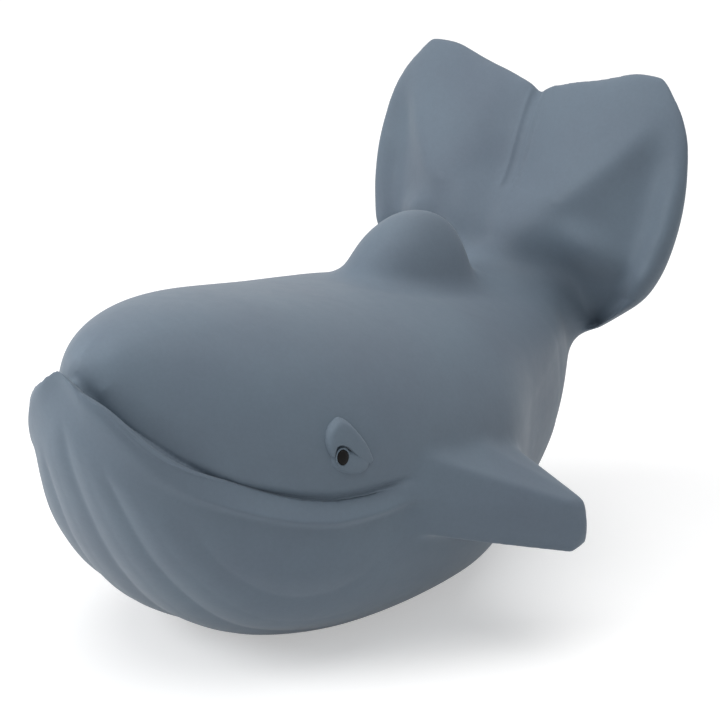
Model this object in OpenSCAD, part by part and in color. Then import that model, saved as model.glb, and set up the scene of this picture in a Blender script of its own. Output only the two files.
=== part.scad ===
// Whale bath toy: a hollow rubber moulding with a reed squeaker in its belly.
// Millimetres, +Z up. The head points to -Y and the animal's left side is +X.
// The origin is the middle of the flat rest under the belly.

/* [Body] */
// Length from the upper lip to the end of the tail stock
body_length = 120; // [100:1:145]
// Width of the body at its widest
body_width = 66; // [55:1:80]
// Height of the crown over the floor
body_height = 61; // [51:1:74]
// Thickness of the rubber wall
wall = 2.4; // [1.8:0.1:3.2]
// How far the lower lip stands out past the upper one
lip_out = 3.3; // [1.5:0.1:5]
// Squareness of the back's cross-section (2 is an ellipse)
back_fullness = 2.25; // [2:0.05:3]
// Squareness of the belly's cross-section (2 is an ellipse)
belly_fullness = 2.35; // [2:0.05:3]
// Open line between two rubber pieces of the moulding
seam_gap = 0.25; // [0.15:0.05:0.4]

/* [Dorsal fin] */
// Length of the fin along the back
fin_length = 29; // [22:1:35]
// Thickness of the fin at its root
fin_width = 19; // [12:0.5:24]
// Height of the fin over the back
fin_height = 11.5; // [7:0.5:16]
// How far the top of the fin leans to the tail
fin_lean = 3; // [0:0.5:6]

/* [Flippers] */
// Length of a flipper from the inside of the flank to its tip
flipper_reach = 20.5; // [16:0.5:26]
// Width of a flipper at the flank, front to back
flipper_root_chord = 28; // [22:1:34]
// Width of a flipper at its tip
flipper_tip_chord = 12; // [8:0.5:18]
// Thickness of a flipper at the flank
flipper_root_thickness = 13; // [9:0.5:16]
// Thickness of a flipper at its tip
flipper_tip_thickness = 9.4; // [6:0.2:12]
// Turn of a flipper, leading edge down
flipper_roll = 12; // [0:1:25]
// Sweep of a flipper to the tail
flipper_sweep = 0; // [-8:1:15]
// Drop of a flipper's tip
flipper_droop = 5; // [0:1:12]

/* [Tail flukes] */
// Span of the flukes
fluke_span = 68; // [52:1:82]
// Length of the flukes along their middle
fluke_length = 43.5; // [35:0.5:55]
// Thickest part of the flukes to the front of their middle
fluke_front = 10; // [7:0.5:13]
// Thickest part of the flukes to the back of their middle
fluke_back = 10; // [7:0.5:14]
// How far the two points stand past the notch
fluke_tip = 6; // [2:0.5:10]
// Lean of the flukes, up from level
fluke_lean = 75.5; // [66:0.5:86]

/* [Eyes] */
// Width of the brow ridge
brow_width = 2.4; // [1.5:0.1:3.5]
// Height of the painted pupil
pupil_height = 2.6; // [1.8:0.1:4]
// Width of the painted pupil
pupil_width = 2; // [1.4:0.1:3]

/* [Squeaker] */
// Outer diameter of the squeaker's barrel
barrel_d = 11; // [9:0.5:14]
// Wall of the barrel
barrel_wall = 1; // [0.8:0.1:1.5]
// Length of the barrel over its flange
barrel_length = 15; // [13:0.5:20]
// Diameter of the barrel's flange
flange_d = 16; // [14:0.5:20]
// Thickness of the flange
flange_t = 1.2; // [0.8:0.1:1.8]
// Depth of the flange under the belly's flat rest
flange_recess = 0.5; // [0.2:0.1:1]
// Height of the rubber collar round the barrel
collar_height = 7; // [5:0.5:9]
// Thickness of the rubber collar
collar_wall = 2.2; // [1.6:0.1:3]
// Diameter of the air hole in the belly
air_hole_d = 2.6; // [1.6:0.1:4]
// Thickness of the reed
reed_t = 0.2; // [0.15:0.05:0.4]
// Width of the reed
reed_w = 3.4; // [2.4:0.1:4.4]
// Room between the squeaker's own pieces
squeaker_fit = 0.1; // [0.05:0.05:0.2]

/* [Hidden] */
$fn = 48;

rubber = [0.40, 0.46, 0.52];
paint = [0.06, 0.05, 0.05];
plastic = [0.88, 0.88, 0.84];
film = [0.75, 0.78, 0.80];

// Where the flat rest's middle lies along the body
rest_share = 0.521;
// Seam line from the upper lip along the flank: along, half width, up
rim_shares = [[0.000, 0.000, 0.893], [0.019, 0.161, 0.803], [0.067, 0.358, 0.695],
    [0.138, 0.591, 0.600], [0.238, 0.833, 0.531], [0.354, 0.970, 0.498],
    [0.488, 1.000, 0.492], [0.621, 0.939, 0.508], [0.738, 0.788, 0.549],
    [0.829, 0.606, 0.610], [0.888, 0.470, 0.655], [0.908, 0.409, 0.695]];
// Line of the back down the middle: along, up
crown_shares = [[0.000, 0.893], [0.008, 0.937], [0.050, 0.980], [0.125, 1.000],
    [0.225, 0.984], [0.346, 0.944], [0.488, 0.890], [0.621, 0.839], [0.721, 0.803],
    [0.796, 0.779], [0.858, 0.790], [0.900, 0.835]];
// Line of the throat and belly down the middle: along, up
keel_shares = [[-0.027, 0.893], [-0.018, 0.742], [0.012, 0.525], [0.075, 0.295],
    [0.175, 0.098], [0.312, 0.005], [0.471, -0.021], [0.629, -0.021], [0.762, 0.025],
    [0.871, 0.164], [0.938, 0.361], [0.971, 0.557]];
// How much of the lip stands out at each station
lip_shares = [1, 1, 0.97, 0.91, 0.79, 0.48, 0.15, 0, 0, 0, 0, 0];

stations = len(rim_shares) - 1;
shell_end = 9;
stock_end = 10.3;
seam_share = 0.05;
fluke_seam_share = 0.09;
fluke_start = stock_end + fluke_seam_share;

// Grid of the two shells
shell_rows = 32;
shell_cols = 32;
stock_rows = 5;
nose_crowding = 1.3;
row_low = 12;
row_high = 25;
pad_inset = 3;
col_low = 8;

function along(share) = body_length * (share - rest_share);

// Catmull-Rom through a table, with a given value before its first row
function spline(t, u, before) =
    let (n = len(t) - 1,
        i = max(0, min(floor(u), n - 1)),
        f = u - i,
        p1 = t[i],
        p2 = t[i + 1],
        p0 = i > 0 ? t[i - 1] : before,
        p3 = i < n - 1 ? t[i + 2] : 2 * p2 - p1,
        m1 = (p2 - p0) / 2,
        m2 = (p3 - p1) / 2)
    (2 * pow(f, 3) - 3 * pow(f, 2) + 1) * p1 + (pow(f, 3) - 2 * pow(f, 2) + f) * m1
    + (3 * pow(f, 2) - 2 * pow(f, 3)) * p2 + (pow(f, 3) - pow(f, 2)) * m2;
function natural(t) = 2 * t[0] - t[1];

rim_before = [rim_shares[1][0], -rim_shares[1][1], natural(rim_shares)[2]];
crown_before = [crown_shares[1][0], natural(crown_shares)[1]];
function rim_at(u) =
    let (r = spline(rim_shares, u, rim_before))
    [r[1] * body_width / 2, along(r[0]), r[2] * body_height];
function crown_at(u) =
    let (c = spline(crown_shares, u, crown_before))
    [0, along(c[0]), c[1] * body_height];
function keel_at(u) =
    let (k = spline(keel_shares, u, natural(keel_shares)))
    [0, along(k[0]), k[1] * body_height];
function lip_at(u) = lip_out * max(0, spline(lip_shares, u, lip_shares[0]));

function unit(v) = v / max(norm(v), 1e-9);
function smooth(t) = let (c = max(0, min(1, t))) c * c * (3 - 2 * c);

// Outward direction of the seam line in plan
function rim_out(u) =
    u < 0.01 ? [0, -1, 0]
    : let (d = unit(rim_at(u + 0.01) - rim_at(u - 0.01)),
        p = unit([d[0], d[1], 0]))
    [p[1], -p[0], 0];
function lip_line(u) = rim_at(u) + rim_out(u) * lip_at(u);

// Share of the way from the seam to the middle line, and of the half width
function rise(a, full) = pow(abs(sin(a)), 2 / full);
function spread(a, full) = sign(cos(a)) * pow(abs(cos(a)), 2 / full);
function section(side, mid, s, c) =
    [side[0] * c, side[1] + s * (mid[1] - side[1]), side[2] + s * (mid[2] - side[2])];
// The outer skin at station u. Angle a goes 0 to 180 over the back, 0 to -180 under the belly
function skin(u, a) =
    a >= 0 ? section(rim_at(u), crown_at(u), rise(a, back_fullness), spread(a, back_fullness))
    : section(lip_line(u), keel_at(u), rise(a, belly_fullness), spread(a, belly_fullness));

// The same skin moved inwards along its normal, within the half that the angle is in
step_u = 0.04;
least_u = 0.005;
step_a = 2;
function inward(u, a, low, high) =
    let (du = skin(u + step_u, a) - skin(max(u - step_u, least_u), a),
        da = skin(u, min(a + step_a, high)) - skin(u, max(a - step_a, low)))
    unit(cross(da, du));
function lining(u, a) = skin(u, a) + wall * inward(u, a, -180, 180);
// The lining of one half shell, level with the seam at its rim
ledge_share = 0.3;
ledge_fall_share = 0.12;
function half_lining(u, a, low, high, ledge) =
    let (o = rim_out(u),
        level = [-sign(cos(a)) * o[0], -o[1], ledge > 0 ? -ledge_fall_share : 0],
        b = smooth(abs(sin(a)) / ledge_share))
    u < 0.01 ? skin(0, 0) + [0, wall, 0]
    : skin(u, a) + (1 - b) * (wall + ledge) * level + b * wall * inward(u, a, low, high);
function above_floor(p, z) = [p[0], p[1], max(p[2], z)];

// Closed wall from an outer and an inner grid. Cells that keep() leaves out are open
function grid_index(i, j, cols, pole) = pole ? (i == 0 ? 0 : 1 + (i - 1) * cols + j) : i * cols + j;
function flat_grid(g, pole) = pole ? concat([g[0][0]], [for (i = [1 : len(g) - 1]) each g[i]])
    : [for (r = g) each r];
function quad(a, b, c, d) = a == b ? [[a, c, d]] : [[a, b, c], [a, c, d]];
function cell_kept(keep, i, j, wrap) =
    let (cols = len(keep[0]),
        k = wrap ? (j + cols) % cols : j)
    i >= 0 && i < len(keep) && k >= 0 && k < cols && keep[i][k];
function wall_faces(keep, cols, wrap, pole, n) =
    [for (i = [0 : len(keep) - 1], j = [0 : len(keep[0]) - 1])
        if (keep[i][j])
            let (j2 = wrap ? (j + 1) % cols : j + 1,
                a = grid_index(i, j, cols, pole),
                b = grid_index(i, j2, cols, pole),
                c = grid_index(i + 1, j2, cols, pole),
                d = grid_index(i + 1, j, cols, pole))
            each concat(
                quad(a, b, c, d),
                [for (q = quad(a, b, c, d)) [q[2] + n, q[1] + n, q[0] + n]],
                cell_kept(keep, i - 1, j, wrap) || a == b ? [] : quad(b, a, a + n, b + n),
                cell_kept(keep, i + 1, j, wrap) ? [] : quad(c, c + n, d + n, d),
                cell_kept(keep, i, j - 1, wrap) ? [] : quad(a, d, d + n, a + n),
                cell_kept(keep, i, j + 1, wrap) ? [] : quad(b, b + n, c + n, c))];
module walled(outer, inner, keep, wrap = false, pole = false) {
    points = concat(flat_grid(outer, pole), flat_grid(inner, pole));
    polyhedron(points, wall_faces(keep, len(outer[0]), wrap, pole, len(points) / 2));
}

// Closed solid from a first point, rings and a last point
function ring_faces(m, n) =
    concat(
        [for (j = [0 : n - 1]) [0, 1 + (j + 1) % n, 1 + j]],
        [for (i = [0 : m - 2], j = [0 : n - 1])
            let (a = 1 + i * n + j,
                b = 1 + i * n + (j + 1) % n,
                c = 1 + (i + 1) * n + (j + 1) % n,
                d = 1 + (i + 1) * n + j)
            each [[a, b, c], [a, c, d]]],
        [for (j = [0 : n - 1]) [1 + (m - 1) * n + j, 1 + (m - 1) * n + (j + 1) % n, 1 + m * n]]);
module ringed(first, rings, last) {
    points = concat([first], [for (r = rings) each r], [last]);
    polyhedron(points, ring_faces(len(rings), len(rings[0])));
}

// Upper shell with its press pad and flex ring
function row_u(i) = shell_end * pow(i / shell_rows, nose_crowding);
function upper_angle(j) = 180 * j / shell_cols;
upper_outer = [for (i = [0 : shell_rows]) [for (j = [0 : shell_cols]) skin(row_u(i), upper_angle(j))]];
upper_inner = [for (i = [0 : shell_rows])
    [for (j = [0 : shell_cols]) half_lining(row_u(i), upper_angle(j), 0, 180, 0)]];
function in_ring(i, j) = i >= row_low && i < row_high && j >= col_low && j < shell_cols - col_low;
function in_pad(i, j) = i >= row_low + pad_inset && i < row_high - pad_inset
    && j >= col_low + pad_inset && j < shell_cols - col_low - pad_inset;
module upper_shell() {
    color(rubber)
        walled(upper_outer, upper_inner,
            [for (i = [0 : shell_rows - 1]) [for (j = [0 : shell_cols - 1]) !in_ring(i, j)]],
            pole = true);
}
module press_ring() {
    color(rubber)
        walled(upper_outer, upper_inner,
            [for (i = [0 : shell_rows - 1])
                [for (j = [0 : shell_cols - 1]) in_ring(i, j) && !in_pad(i, j)]],
            pole = true);
}
module press_pad() {
    color(rubber)
        walled(upper_outer, upper_inner,
            [for (i = [0 : shell_rows - 1]) [for (j = [0 : shell_cols - 1]) in_pad(i, j)]],
            pole = true);
}

// Lower shell: lip, throat and belly, flat where the toy rests, with the squeaker's collar
squeaker_share = 0.09;
squeaker_y = body_length * squeaker_share;
flange_seat = flange_recess + flange_t;
collar_top = flange_seat + collar_height;
overrun = wall;
hair = 1e-6;
function lower_angle(j) = (180 - 2 * hair) * j / shell_cols - 180 + hair;
chin_gap = wall * 0.3;
function lip_fall(u) = [0, 0, seam_gap + chin_gap * (1 - smooth(u / 2))];
function keel_in(u) =
    let (d = unit(keel_at(u + step_u) - keel_at(max(0, u - step_u))),
        n = u < 0.01 ? [0, 1, 0] : [0, -d[2], d[1]])
    keel_at(u) + (wall + lip_at(u) * (1 - smooth(u))) * n;
function rim_in(u) =
    let (r = rim_at(u) - wall * (rim_out(u) + [0, 0, ledge_fall_share]))
    [max(0, r[0]), r[1], r[2]];
function chin_lining(u, a) =
    section(rim_in(u), keel_in(u), rise(a, belly_fullness), spread(a, belly_fullness));
// The hollow starts behind the chin, where the shell is wide enough to hold it
hollow_start = 0.6;
function lower_lining(row, a) =
    let (u = hollow_start + row * (1 - hollow_start / shell_end),
        b = smooth(u - 1))
    row == 0 ? [0, rim_in(u)[1], rim_in(u)[2]]
    : (1 - b) * chin_lining(u, a) + b * half_lining(u, a, hair - 180, -hair, lip_at(u));
lower_outer = [for (i = [0 : shell_rows]) [for (j = [0 : shell_cols])
    above_floor(skin(row_u(i), lower_angle(j)) - lip_fall(row_u(i)), 0)]];
lower_inner = [for (i = [0 : shell_rows]) [for (j = [0 : shell_cols])
    above_floor(lower_lining(row_u(i), lower_angle(j)) - lip_fall(row_u(i)), wall)]];
module lower_wall() {
    walled(lower_outer, lower_inner,
        [for (i = [0 : shell_rows - 1]) [for (j = [0 : shell_cols - 1]) true]],
        pole = true);
}
module lower_shell() {
    color(rubber)
        difference() {
            union() {
                lower_wall();
                translate([0, squeaker_y, wall / 2])
                    cylinder(h = collar_top - wall / 2, d = barrel_d + 2 * collar_wall);
            }
            translate([0, squeaker_y, -overrun])
                cylinder(h = collar_top + 2 * overrun, d = barrel_d + 2 * squeaker_fit);
            translate([0, squeaker_y, -overrun])
                cylinder(h = overrun + flange_seat, d = flange_d + 2 * squeaker_fit);
        }
}

// Tail stock: the waist that bends between the body and the flukes
ring_cols = 40;
function ring_angle(j) = 360 * (j + 0.5) / ring_cols - 180;
stock_u = [for (i = [0 : stock_rows])
    shell_end + seam_share + (stock_end - shell_end - seam_share) * i / stock_rows];
module tail_stock() {
    color(rubber)
        walled(
            [for (u = stock_u) [for (j = [0 : ring_cols - 1]) skin(u, ring_angle(j))]],
            [for (u = stock_u) [for (j = [0 : ring_cols - 1]) lining(u, ring_angle(j))]],
            [for (i = [1 : stock_rows]) [for (j = [1 : ring_cols]) true]],
            wrap = true);
}

// Tail flukes: two puffed lobes with a shallow valley between them
fluke_width_shares = [0.50, 0.79, 0.92, 0.976, 1, 0.99, 0.944, 0.79];
fluke_front_shares = [0.9, 1, 1, 0.93, 0.8, 0.62, 0.42, 0.2];
fluke_back_shares = [0.9, 1, 1, 0.9, 0.75, 0.56, 0.38, 0.2];
fluke_base_shares = [0.901, 0.590];
fluke_rows = 20;
fluke_hold_share = 0.06;
fluke_blend_share = 0.3;
fluke_rim_share = -0.15;
fluke_lead_share = 0.45;
fluke_lag_share = 0.2;
fluke_round_share = 0.1;
fluke_hollow_share = 0.78;
hollow_rim_share = 0.12;
hollow_lead_share = 0.3;
valley_share = 0.62;
back_valley_share = 0.25;
valley_width_share = 0.11;
notch_share = 0.35;
lobe_fullness = 2.1;
function table_at(t, q) = spline(t, q * (len(t) - 1), natural(t));
function fluke_mid(q) = [0,
    along(fluke_base_shares[0]) + fluke_length * q * cos(fluke_lean),
    fluke_base_shares[1] * body_height + fluke_length * q * sin(fluke_lean)];
function edge_round(q) = q < 1 - fluke_round_share ? 1
    : sqrt(1 - 0.85 * pow((q - 1 + fluke_round_share) / fluke_round_share, 2));
function fan(t, a, rim, lead) = rim + (1 - rim) * t
    + (a >= 0 ? lead : -fluke_lag_share) * rise(a, lobe_fullness) * pow(1 - t, 2);
function lobe(q, a, inset) =
    let (in_table = max(0, q),
        half = fluke_span / 2 * table_at(fluke_width_shares, in_table) - 2.2 * inset,
        deep = a >= 0 ? fluke_front * table_at(fluke_front_shares, in_table)
            : -fluke_back * table_at(fluke_back_shares, in_table),
        x = half * spread(a, lobe_fullness),
        thick = (deep - sign(deep) * inset) * rise(a, lobe_fullness) * edge_round(q)
            * (1 - (a >= 0 ? valley_share : back_valley_share)
                * exp(-pow(x / (valley_width_share * fluke_span), 2))),
        out = min(1, 2 * abs(x) / fluke_span),
        qq = q + in_table * in_table * fluke_tip / fluke_length * (sin(135 * out) - notch_share),
        m = fluke_mid(qq))
    [x, m[1] - thick * sin(fluke_lean), m[2] + thick * cos(fluke_lean)];
function fluke_u(q) = fluke_start + (stations - fluke_start) * min(1, q / fluke_blend_share);
function fluke_skin(q, a, inset) =
    let (b = smooth((q - fluke_hold_share) / (fluke_blend_share - fluke_hold_share)),
        s = inset > 0 ? lining(fluke_u(q), a) : skin(fluke_u(q), a),
        f = inset > 0 ? fan(q, a, hollow_rim_share, hollow_lead_share)
            : fan(q, a, fluke_rim_share, fluke_lead_share))
    (1 - b) * s + b * lobe(f, a, inset);
fluke_q = [for (i = [0 : fluke_rows])
    let (t = i / fluke_rows)
    t < 0.75 ? t * 1.2 : 1 - fluke_round_share * pow((1 - t) / 0.25, 1.6)];
fluke_outer = [for (q = fluke_q) [for (j = [0 : ring_cols - 1]) fluke_skin(q, ring_angle(j), 0)]];
fluke_inner = [for (q = fluke_q)
    [for (j = [0 : ring_cols - 1]) fluke_skin(q * fluke_hollow_share, ring_angle(j), wall)]];
// The far edge: front points joined to the back points they lie over
function edge_faces(first, cols, flip) =
    [for (j = [0 : cols / 2 - 2])
        let (a = first + j,
            b = first + j + 1,
            c = first + cols - 2 - j,
            d = first + cols - 1 - j)
        each flip ? quad(d, c, b, a) : quad(a, b, c, d)];
module tail_flukes() {
    n = len(fluke_q) * ring_cols;
    rows = len(fluke_q);
    tube = [for (i = [0 : rows - 2], j = [0 : ring_cols - 1])
        let (j2 = (j + 1) % ring_cols,
            a = i * ring_cols + j,
            b = i * ring_cols + j2,
            c = (i + 1) * ring_cols + j2,
            d = (i + 1) * ring_cols + j)
        each concat(quad(a, b, c, d), quad(d + n, c + n, b + n, a + n),
            i == 0 ? quad(b, a, a + n, b + n) : [])];
    far_edge = (rows - 1) * ring_cols;
    color(rubber)
        polyhedron(concat(flat_grid(fluke_outer, false), flat_grid(fluke_inner, false)),
            concat(tube, edge_faces(far_edge, ring_cols, false),
                edge_faces(far_edge + n, ring_cols, true)));
}

// Dorsal fin: a hump seated on the back
fin_share = 0.678;
fin_cols = 32;
fin_rows = 9;
fin_low_u = 4.5;
fin_high_u = 9.6;
function back_rise(u, x) =
    let (c = min(1, abs(x) / rim_at(u)[0]))
    pow(max(0, 1 - pow(c, back_fullness)), 1 / back_fullness);
function back_point(u, x) =
    let (s = back_rise(u, x))
    section(rim_at(u), crown_at(u), s, 0) + [x, 0, 0];
function back_u(x, y, low, high, n) =
    let (mid = (low + high) / 2)
    n == 0 ? mid
    : back_point(mid, x)[1] < y ? back_u(x, y, mid, high, n - 1) : back_u(x, y, low, mid, n - 1);
function on_back(x, y) = [x, y, back_point(back_u(x, y, fin_low_u, fin_high_u, 18), x)[2]];
function fin_lift(r) = pow(1 - pow(r, 2.2), 0.8);
function fin_ring(r) =
    [for (j = [0 : fin_cols - 1])
        let (a = 360 * j / fin_cols,
            x = fin_width / 2 * r * cos(a),
            y = along(fin_share) + fin_length / 2 * r * sin(a) + fin_lean * fin_lift(r))
        on_back(x, y) + [0, 0, seam_gap + fin_height * fin_lift(r)]];
function fin_seat(r) =
    [for (j = [0 : fin_cols - 1])
        let (a = 360 * j / fin_cols)
        on_back(fin_width / 2 * r * cos(a), along(fin_share) + fin_length / 2 * r * sin(a))
            + [0, 0, seam_gap]];
function turned(rings) = [for (r = rings) [for (j = [len(r) - 1 : -1 : 0]) r[j]]];
module dorsal_fin() {
    color(rubber)
        ringed(on_back(0, along(fin_share)) + [0, 0, seam_gap],
            turned(concat([fin_seat(0.35), fin_seat(0.7)],
                [for (i = [0 : fin_rows]) fin_ring(1 - 0.92 * pow(i / fin_rows, 0.8))])),
            on_back(0, along(fin_share) + fin_lean) + [0, 0, seam_gap + fin_height]);
}

// Flippers: a stub that bends at the flank and a blunt paddle
flipper_shares = [0.848, 0.526, 0.375];
flipper_cols = 28;
flipper_rows = 10;
web_share = 0.42;
web_gap_share = 0.012;
seat_flare = 1.12;
tip_round_share = 0.15;
paddle_fullness = 3;
flank_low_u = 4;
flank_high_u = 9;
flipper_at = [flipper_shares[0] * body_width / 2, along(flipper_shares[1]),
    flipper_shares[2] * body_height];
flipper_dir = [cos(flipper_sweep) * cos(flipper_droop), sin(flipper_sweep) * cos(flipper_droop),
    -sin(flipper_droop)];
flipper_aft = unit([0, 1, 0] - flipper_dir * flipper_dir[1]);
flipper_up = cross(flipper_dir, flipper_aft);
flipper_chord_dir = flipper_aft * cos(flipper_roll) + flipper_up * sin(flipper_roll);
flipper_thick_dir = flipper_up * cos(flipper_roll) - flipper_aft * sin(flipper_roll);
function flank_drop(u, z) =
    let (top = lip_line(u)[2],
        low = z >= top ? crown_at(u)[2] : keel_at(u)[2])
    max(0, min(0.98, (z - top) / (low - top)));
function flank_point(u, z) =
    let (s = flank_drop(u, z),
        top = lip_line(u),
        mid = z >= top[2] ? crown_at(u) : keel_at(u),
        full = z >= top[2] ? back_fullness : belly_fullness)
    section(top, mid, s, pow(1 - pow(s, full), 1 / full));
function flank_u(y, z, low, high, n) =
    let (mid = (low + high) / 2)
    n == 0 ? mid
    : flank_point(mid, z)[1] < y ? flank_u(y, z, mid, high, n - 1) : flank_u(y, z, low, mid, n - 1);
function on_flank(y, z) =
    let (u = flank_u(y, z, flank_low_u, flank_high_u, 18))
    [flank_point(u, z)[0] + seam_gap, y, z];
function tip_round(t) =
    let (e = min(1, (1 - t) / tip_round_share))
    sqrt(max(0, 1 - pow(1 - e, 2)));
function paddle_offset(t, a) =
    let (chord = flipper_root_chord + (flipper_tip_chord - flipper_root_chord) * min(1, t),
        thick = flipper_root_thickness + (flipper_tip_thickness - flipper_root_thickness) * t,
        r = tip_round(t))
    chord / 2 * (0.68 + 0.32 * r) * spread(a, paddle_fullness) * flipper_chord_dir
        + thick / 2 * (0.25 + 0.75 * r) * sign(sin(a)) * rise(a, paddle_fullness) * flipper_thick_dir;
function paddle_mid(t) = flipper_at + flipper_dir * flipper_reach * t;
function paddle_ring(t) =
    [for (j = [0 : flipper_cols - 1]) paddle_mid(t) + paddle_offset(t, 360 * j / flipper_cols)];
function seat_ring(k) =
    [for (j = [0 : flipper_cols - 1])
        let (p = paddle_mid(0.2) + k * paddle_offset(0, 360 * j / flipper_cols))
        on_flank(p[1], p[2])];
seat_mid = on_flank(paddle_mid(0.2)[1], paddle_mid(0.2)[2]);
function sided(p, side) = [p[0] * side, p[1], p[2]];
module sided_rings(first, rings, last, side) {
    placed = [for (r = rings) [for (p = r) sided(p, side)]];
    ringed(sided(first, side), side > 0 ? turned(placed) : placed, sided(last, side));
}
module flipper_root(side) {
    color(rubber)
        sided_rings(seat_mid,
            concat([seat_ring(0.5 * seat_flare), seat_ring(seat_flare)],
                [paddle_ring(web_share)]),
            paddle_mid(web_share), side);
}
module flipper(side) {
    first = web_share + web_gap_share;
    color(rubber)
        sided_rings(paddle_mid(first),
            [for (i = [0 : flipper_rows]) paddle_ring(1 - (1 - first) * pow(1 - i / flipper_rows, 1.5))],
            paddle_mid(1.01), side);
}
module left_flipper() flipper(1);
module right_flipper() flipper(-1);
module left_flipper_root() flipper_root(1);
module right_flipper_root() flipper_root(-1);

// Eyes: a brow ridge that arches over a painted pupil
eye_station = 4.18;
eye_angle = 10.3;
// Stations and angles on the skin that the ridge runs through
brow_stations = [[4.02, 13], [4.03, 17], [4.11, 21.5], [4.24, 22.5], [4.37, 19], [4.48, 13.5],
    [4.57, 8.5]];
brow_width_shares = [0.55, 0.9, 1, 1, 0.85, 0.6, 0.3];
eye_lift = seam_gap * 0.6;
function outward(u, a) = -inward(u, a, 0, 180);
brow_path = [for (s = brow_stations) skin(s[0], s[1]) + eye_lift * outward(s[0], s[1])];
function brow_along(k) = unit(brow_path[min(k + 1, len(brow_path) - 1)] - brow_path[max(k - 1, 0)]);
function brow_ring(k) =
    let (n = outward(brow_stations[k][0], brow_stations[k][1]),
        b = unit(cross(n, brow_along(k))),
        r = brow_width / 2 * brow_width_shares[k])
    [for (t = [0 : 30 : 180]) brow_path[k] + r * cos(t) * b + r * 0.9 * sin(t) * n];
function brow_end(k, share) =
    brow_path[k] + share * brow_width * outward(brow_stations[k][0], brow_stations[k][1]);
module brow(side) {
    last = len(brow_path) - 1;
    color(rubber)
        sided_rings(brow_end(0, 0.09), [for (k = [0 : last]) brow_ring(k)], brow_end(last, 0.05), side);
}
module left_brow() brow(1);
module right_brow() brow(-1);
pupil_cols = 20;
pupil_dome_share = 0.22;
function pupil_ring(r, lift) =
    let (n = outward(eye_station, eye_angle),
        y = unit([0, 1, 0] - n * n[1]),
        z = cross(n, y))
    [for (j = [0 : pupil_cols - 1])
        let (a = 360 * j / pupil_cols)
        skin(eye_station, eye_angle) + (eye_lift + lift * pupil_height) * n
            + r * pupil_width / 2 * cos(a) * y + r * pupil_height / 2 * sin(a) * z];
function pupil_mid(lift) =
    skin(eye_station, eye_angle) + (eye_lift + lift * pupil_height) * outward(eye_station, eye_angle);
module pupil(side) {
    color(paint)
        sided_rings(pupil_mid(0), [pupil_ring(1, 0), pupil_ring(0.94, 0.35 * pupil_dome_share),
            pupil_ring(0.7, 0.75 * pupil_dome_share)], pupil_mid(pupil_dome_share), side);
}
module left_pupil() pupil(1);
module right_pupil() pupil(-1);

// Squeaker: a barrel pressed into the belly, with a reed clamped inside it
floor_z = flange_recess + flange_t;
barrel_top = floor_z + barrel_length;
bore_d = barrel_d - 2 * barrel_wall;
insert_d = bore_d - 2 * squeaker_fit;
bead_out = barrel_wall * 0.7;
bead_height = barrel_wall * 1.4;
clamp_height = barrel_length * 0.24;
block_height = barrel_length * 0.7;
clamp_top = floor_z + squeaker_fit + clamp_height;
reed_top = clamp_top + barrel_length * 0.45;
reed_relief = reed_t * 3.5;
channel_w = reed_w * 0.6;
channel_depth = insert_d * 0.18;
plug_length = barrel_length * 0.14;
cap_t = barrel_wall;
cap_hole_d = air_hole_d;
module on_squeaker(z) {
    translate([0, squeaker_y, z])
        children();
}
module squeaker_barrel() {
    color(plastic)
        difference() {
            union() {
                on_squeaker(flange_recess)
                    cylinder(h = flange_t, d = flange_d);
                on_squeaker(flange_recess)
                    cylinder(h = flange_t + barrel_length, d = barrel_d);
                on_squeaker(collar_top + seam_gap)
                    cylinder(h = bead_height, d = barrel_d + 2 * bead_out);
            }
            on_squeaker(floor_z)
                cylinder(h = barrel_length + overrun, d = bore_d);
            on_squeaker(-overrun)
                cylinder(h = floor_z + 2 * overrun, d = air_hole_d);
        }
}
module reed_block() {
    color(plastic)
        difference() {
            on_squeaker(floor_z + squeaker_fit)
                cylinder(h = block_height, d = insert_d);
            translate([0, squeaker_y - barrel_d / 2, floor_z])
                cube([barrel_d, barrel_d, barrel_length]);
            translate([-reed_relief, squeaker_y - barrel_d / 2, clamp_top])
                cube([barrel_d, barrel_d, barrel_length]);
            translate([-reed_relief - channel_depth, squeaker_y - channel_w / 2, floor_z])
                cube([barrel_d, channel_w, barrel_length]);
        }
}
module reed_strip(z, h) {
    color(film)
        translate([squeaker_fit, squeaker_y - reed_w / 2, z])
            cube([reed_t, reed_w, h]);
}
module reed_tail() reed_strip(floor_z + squeaker_fit, clamp_height);
module reed_tongue() reed_strip(clamp_top + squeaker_fit, reed_top - clamp_top);
module reed_clamp() {
    color(plastic)
        intersection() {
            on_squeaker(floor_z + squeaker_fit)
                cylinder(h = clamp_height, d = insert_d);
            translate([reed_t + 2 * squeaker_fit, squeaker_y - barrel_d / 2, floor_z])
                cube([barrel_d, barrel_d, barrel_length]);
        }
}
module squeaker_cap() {
    color(plastic)
        difference() {
            union() {
                on_squeaker(barrel_top + squeaker_fit)
                    cylinder(h = cap_t, d = barrel_d);
                on_squeaker(barrel_top - plug_length)
                    cylinder(h = plug_length + squeaker_fit + cap_t / 2, d = insert_d);
            }
            on_squeaker(barrel_top - plug_length - overrun)
                cylinder(h = plug_length + cap_t + 2 * overrun, d = cap_hole_d);
        }
}

upper_shell();
press_pad();
press_ring();
lower_shell();
dorsal_fin();
left_flipper();
left_flipper_root();
right_flipper();
right_flipper_root();
tail_stock();
tail_flukes();
left_brow();
right_brow();
left_pupil();
right_pupil();
squeaker_barrel();
reed_block();
reed_tongue();
reed_tail();
reed_clamp();
squeaker_cap();
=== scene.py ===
import math

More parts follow.
